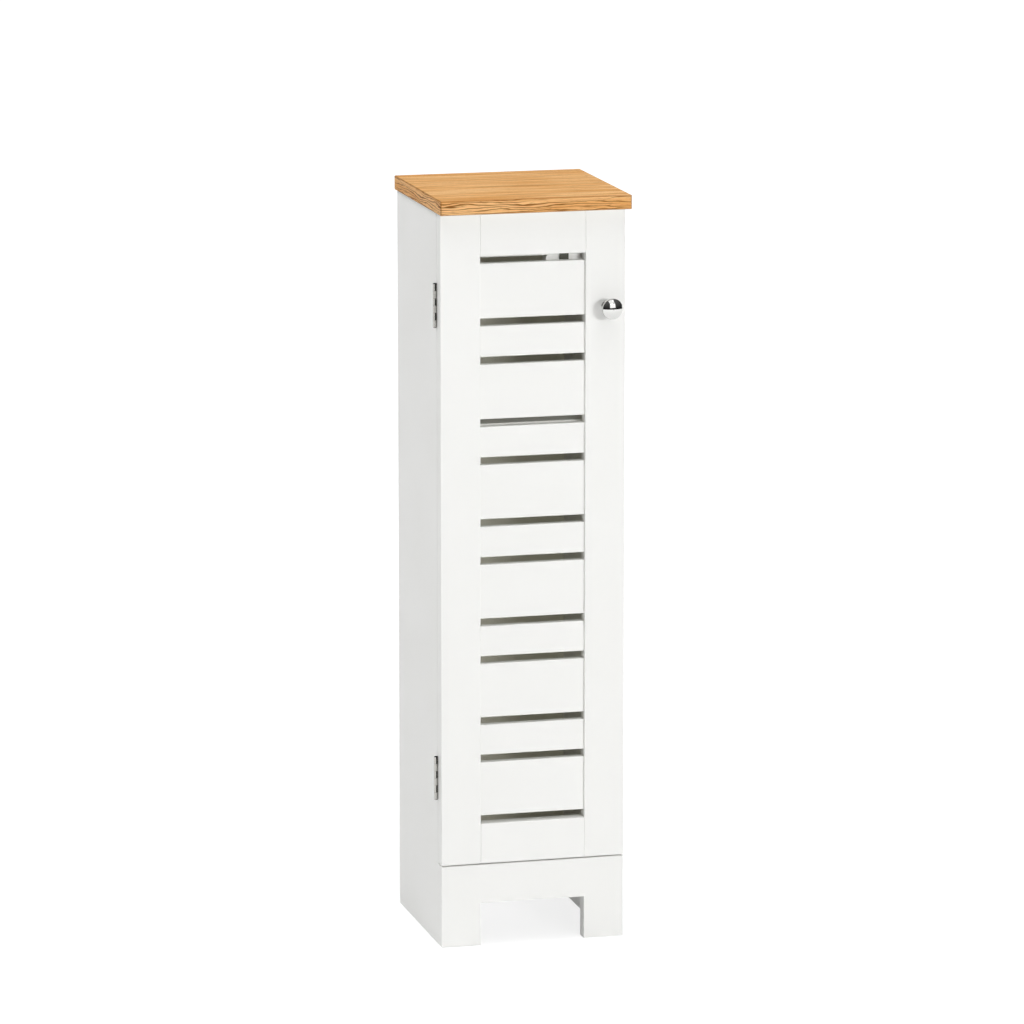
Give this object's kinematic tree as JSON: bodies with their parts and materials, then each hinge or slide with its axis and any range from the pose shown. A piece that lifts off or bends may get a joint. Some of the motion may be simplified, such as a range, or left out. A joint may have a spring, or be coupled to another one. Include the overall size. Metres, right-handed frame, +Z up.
{
  "type": "toilet roll storage cabinet",
  "caption": "Slim free-standing cabinet with a louvred hinged door, one shelf, a cut-out plinth and an oak-look top board for storing spare toilet rolls.",
  "frame": {"origin": "middle of the part's outline on the floor", "axes": "+Z up, the door and knob face -Y, the hinges are on the -X side"},
  "size_m": [0.201, 0.2112, 0.78],
  "materials": {
    "white_board": "satin white paint on fibreboard",
    "oak_board": "satin oak-look foil",
    "back_board": "white-faced hardboard",
    "dowel_wood": "bare beech",
    "chrome": "polished",
    "steel": "zinc plated",
    "cam_zinc": "die-cast zinc",
    "white_plastic": "moulded",
    "ferrite": "sintered ferrite"
  },
  "bodies": {
    "cabinet": {"top_board": "oak_board", "left_side_panel": "white_board", "right_side_panel": "white_board", "back_panel": "back_board", "floor_panel": "white_board", "front_rail": "white_board", "plinth": "white_board", "shelf": "white_board", "shelf_pins": "steel", "carcass_dowels": "dowel_wood", "cam_bolts": "steel", "cam_locks": "cam_zinc", "back_nails": "steel", "upper_hinge_panel_leaf": "chrome", "upper_hinge_pin": "chrome", "lower_hinge_panel_leaf": "chrome", "lower_hinge_pin": "chrome", "hinge_panel_screws": "chrome", "catch_housing": "white_plastic", "catch_magnet": "ferrite", "catch_pole_plates": "steel", "catch_screws": "steel"},
    "door": {"door_left_stile": "white_board", "door_right_stile": "white_board", "door_top_rail": "white_board", "door_bottom_rail": "white_board", "slat_1": "white_board", "slat_2": "white_board", "slat_3": "white_board", "slat_4": "white_board", "slat_5": "white_board", "slat_6": "white_board", "slat_7": "white_board", "slat_8": "white_board", "slat_9": "white_board", "slat_10": "white_board", "slat_11": "white_board", "upper_hinge_door_leaf": "chrome", "lower_hinge_door_leaf": "chrome", "hinge_door_screws": "chrome", "knob": "chrome", "knob_screw": "steel", "strike_plate": "steel", "strike_screws": "steel"}
  },
  "joints": [
    {"name": "door_hinge", "type": "hinge", "parent": "cabinet", "child": "door", "pos_m": [-0.099, -0.0649, 0.42], "axis": [0, 0, -1], "range_deg": [0, 180]}
  ]
}
